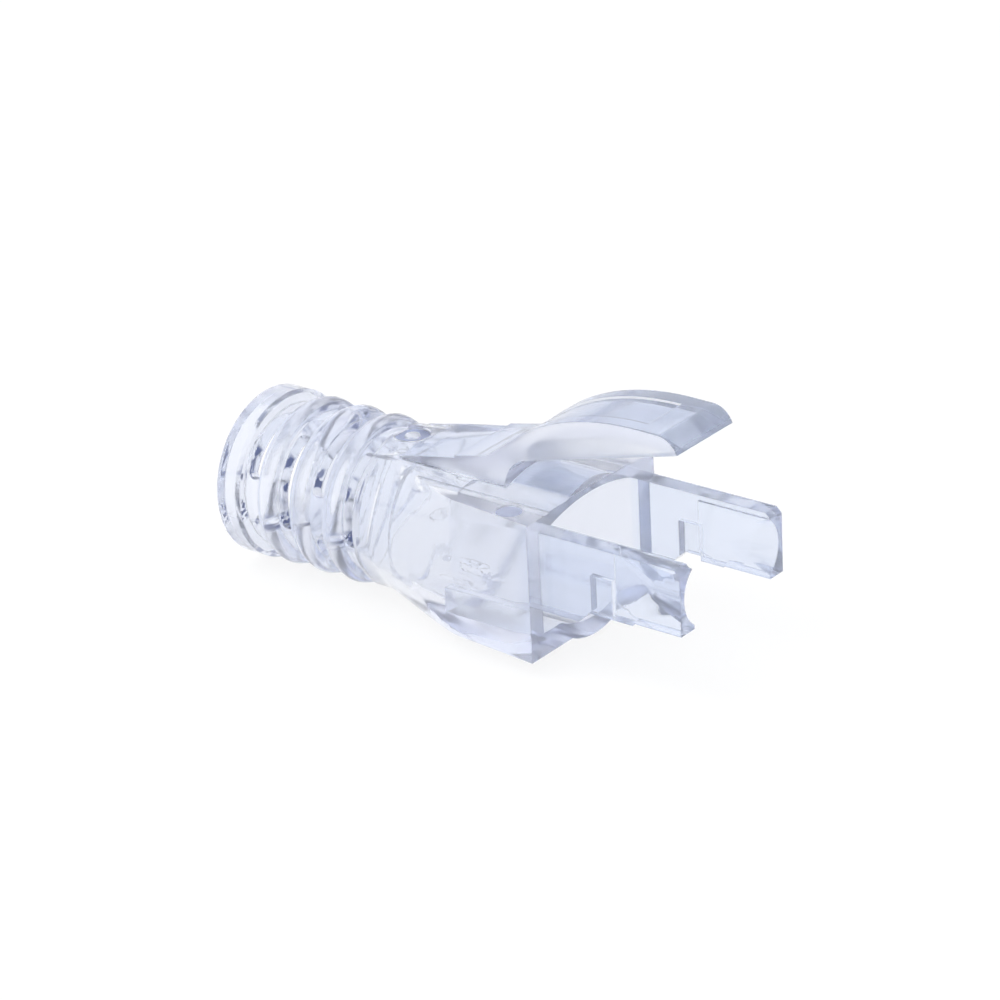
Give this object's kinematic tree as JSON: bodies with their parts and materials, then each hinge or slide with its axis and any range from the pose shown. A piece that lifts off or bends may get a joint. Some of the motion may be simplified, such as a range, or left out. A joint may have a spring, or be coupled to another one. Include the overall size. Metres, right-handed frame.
{
  "type": "cable strain relief boot",
  "caption": "Clear moulded boot behind a network plug: slotted ribbed sleeve round the cable, square hollow shoulder, arched latch guard and claw arms.",
  "frame": {"origin": "centre of the cable bore on the rear face of the sleeve", "axes": "+X along the sleeve's axis from the cable end to the plug end, +Y across the boot, +Z to the side of the latch guard"},
  "size_m": [0.0342, 0.0122, 0.0155],
  "materials": {
    "boot": "clear, moulded smooth, very pale violet blue"
  },
  "bodies": {
    "root": {"boot": "boot"}
  },
  "joints": []
}
